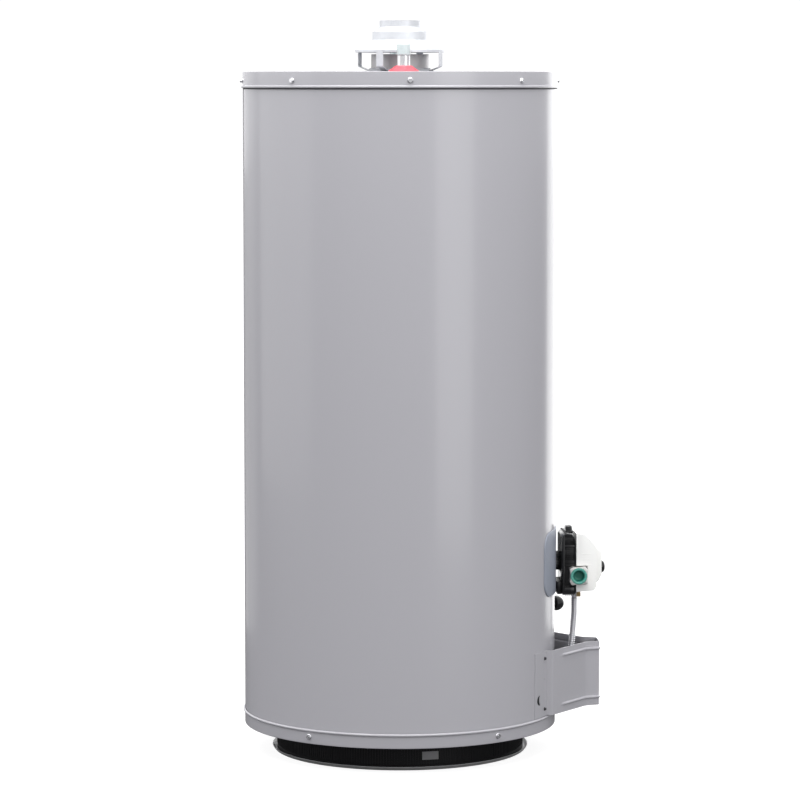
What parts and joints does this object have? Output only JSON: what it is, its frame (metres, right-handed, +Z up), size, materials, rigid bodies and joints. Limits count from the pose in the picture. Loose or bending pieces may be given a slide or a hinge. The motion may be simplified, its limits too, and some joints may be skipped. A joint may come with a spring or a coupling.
{
  "type": "tank water heater",
  "caption": "Upright cylindrical gas tank water heater with a flared draft hood on top, a side-mounted gas control, a sheet burner cover and a louvred air-intake base.",
  "frame": {"origin": "on the floor at the tank's axis, at the centre of the base pan's flat underside", "axes": "+Z up along the tank's axis, -Y towards the gas control and burner cover at the front, -X the hot outlet's side, +X the cold inlet and relief valve's side"},
  "size_m": [0.6421, 0.6567, 1.3119],
  "materials": {
    "jacket_paint": "gloss",
    "hood_paint": "satin",
    "bare_steel": "dull",
    "dark_steel": "matte",
    "bright_steel": "bright",
    "brass": "dull",
    "casting": "as cast",
    "black_plastic": "satin",
    "white_plastic": "satin",
    "grey_plastic": "matte",
    "teal_plastic": "satin",
    "red_plastic": "satin",
    "blue_plastic": "satin",
    "clear_plastic": "satin",
    "foam": "matte"
  },
  "bodies": {
    "heater": {"anode_rod": "bare_steel", "base_pan": "bare_steel", "bottom_pan": "jacket_paint", "burner": "dark_steel", "burner_cover": "jacket_paint", "burner_door": "dark_steel", "burner_manifold": "brass", "cap_screw_1": "bright_steel", "cap_screw_2": "bright_steel", "cap_screw_3": "bright_steel", "cap_screw_4": "bright_steel", "cap_screw_5": "bright_steel", "cap_screw_6": "bright_steel", "cap_screw_7": "bright_steel", "cap_screw_8": "bright_steel", "chamber_pan": "bare_steel", "cold_escutcheon": "blue_plastic", "cold_nipple": "bare_steel", "cold_thread_cap": "clear_plastic", "cover_screw_1": "dark_steel", "cover_screw_2": "dark_steel", "cover_screw_3": "dark_steel", "cover_screw_4": "dark_steel", "dip_tube": "grey_plastic", "draft_hood": "hood_paint", "drain_body": "black_plastic", "flame_arrestor": "foam", "flex_nut": "bright_steel", "flex_tube": "bright_steel", "flue_baffle": "bare_steel", "flue_tube": "dark_steel", "hood_bracket": "hood_paint", "hot_escutcheon": "red_plastic", "hot_nipple": "bare_steel", "hot_thread_cap": "clear_plastic", "inlet_plug": "teal_plastic", "insulation": "foam", "intake_screen": "black_plastic", "jacket": "jacket_paint", "pan_screw_1": "bright_steel", "pan_screw_2": "bright_steel", "pan_screw_3": "bright_steel", "pan_screw_4": "bright_steel", "pan_screw_5": "bright_steel", "pilot_assembly": "bright_steel", "pressure_tap": "brass", "relief_body": "brass", "tank": "dark_steel", "thermowell": "brass", "top_cap": "jacket_paint", "valve_body": "black_plastic", "valve_casting": "casting", "valve_cover": "white_plastic", "valve_pad": "grey_plastic"},
    "dial_shaft": {"dial_plunger": "bright_steel"},
    "dial": {"gas_dial": "black_plastic"},
    "button": {"igniter_button": "black_plastic"},
    "relief_pin": {"relief_stem": "bright_steel"},
    "relief_handle": {"relief_lever": "bright_steel"},
    "drain_knob": {"drain_handle": "black_plastic"}
  },
  "joints": [
    {"name": "dial_push", "type": "slide", "parent": "heater", "child": "dial_shaft", "axis": [0, 1, 0], "range_m": [0, 0.003], "stiffness_N_per_m": 400, "springref_m": -0.002},
    {"name": "dial_turn", "type": "hinge", "parent": "dial_shaft", "child": "dial", "pos_m": [0, -0.36, 0.326], "axis": [0, -1, 0], "range_deg": [0, 280]},
    {"name": "igniter_press", "type": "slide", "parent": "heater", "child": "button", "axis": [0, 0, -1], "range_m": [0, 0.004], "stiffness_N_per_m": 800, "springref_m": -0.003},
    {"name": "relief_lift", "type": "hinge", "parent": "relief_pin", "child": "relief_handle", "pos_m": [0.3548, 0, 1.07], "axis": [0, 1, 0], "range_deg": [0, 90], "stiffness_Nm_per_rad": 0.05, "springref_deg": -17.19},
    {"name": "relief_stem_rise", "type": "slide", "parent": "heater", "child": "relief_pin", "axis": [1, 0, 0], "range_m": [0, 0.004]},
    {"name": "drain_turn", "type": "hinge", "parent": "heater", "child": "drain_knob", "pos_m": [0.10603, -0.2913, 0.243], "axis": [0.342, -0.9397, 0], "range_deg": [0, 360]}
  ],
  "couplings": [
    {"joint": "relief_stem_rise", "follows": "relief_lift", "m_per_rad": 0.002546}
  ]
}
